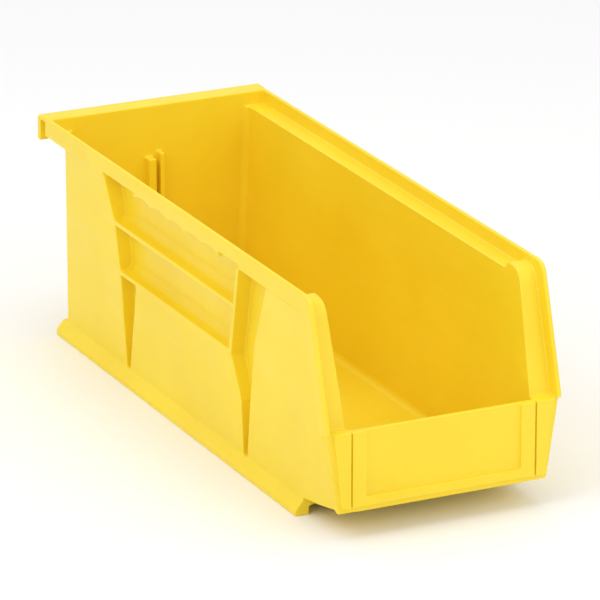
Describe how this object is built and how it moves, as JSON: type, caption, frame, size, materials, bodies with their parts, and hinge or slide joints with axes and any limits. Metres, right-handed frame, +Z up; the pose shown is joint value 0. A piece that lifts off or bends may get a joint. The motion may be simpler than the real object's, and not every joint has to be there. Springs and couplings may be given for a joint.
{
  "type": "hanging parts bin",
  "caption": "Open-top moulded storage bin with a sloped hopper front, a rear hanging lip, stacking ledges and rails, side finger grips and a front label recess.",
  "frame": {"origin": "centre of the footprint, on the plane that the two stacking rails rest on", "axes": "+Z up, +Y towards the hanger at the rear, -Y towards the label face, +X to the right seen from the front"},
  "size_m": [0.138, 0.3746, 0.1292],
  "materials": {
    "yellow_polypropylene": "satin moulded surface, fine sandblast grain"
  },
  "bodies": {
    "root": {"divider_ribs": "yellow_polypropylene", "floor_panel": "yellow_polypropylene", "floor_ramp": "yellow_polypropylene", "front_wall": "yellow_polypropylene", "hanger_leg": "yellow_polypropylene", "hanger_top": "yellow_polypropylene", "label_frame_bottom": "yellow_polypropylene", "label_panel": "yellow_polypropylene", "left_bottom_corner": "yellow_polypropylene", "left_finger_grip": "yellow_polypropylene", "left_front_flange_strip": "yellow_polypropylene", "left_front_side_panel": "yellow_polypropylene", "left_grip_end_web": "yellow_polypropylene", "left_hopper_flange": "yellow_polypropylene", "left_label_frame_side": "yellow_polypropylene", "left_lower_rib": "yellow_polypropylene", "left_lower_side_panel": "yellow_polypropylene", "left_rear_corner": "yellow_polypropylene", "left_rear_side_panel": "yellow_polypropylene", "left_rim_lip": "yellow_polypropylene", "left_side_wall": "yellow_polypropylene", "left_stacking_ledge": "yellow_polypropylene", "left_stacking_rail": "yellow_polypropylene", "left_upper_rib": "yellow_polypropylene", "rear_bottom_corner": "yellow_polypropylene", "rear_header": "yellow_polypropylene", "rear_wall": "yellow_polypropylene", "right_bottom_corner": "yellow_polypropylene", "right_finger_grip": "yellow_polypropylene", "right_front_flange_strip": "yellow_polypropylene", "right_front_side_panel": "yellow_polypropylene", "right_grip_end_web": "yellow_polypropylene", "right_hopper_flange": "yellow_polypropylene", "right_label_frame_side": "yellow_polypropylene", "right_lower_rib": "yellow_polypropylene", "right_lower_side_panel": "yellow_polypropylene", "right_rear_corner": "yellow_polypropylene", "right_rear_side_panel": "yellow_polypropylene", "right_rim_lip": "yellow_polypropylene", "right_side_wall": "yellow_polypropylene", "right_stacking_ledge": "yellow_polypropylene", "right_stacking_rail": "yellow_polypropylene", "right_upper_rib": "yellow_polypropylene"}
  },
  "joints": []
}
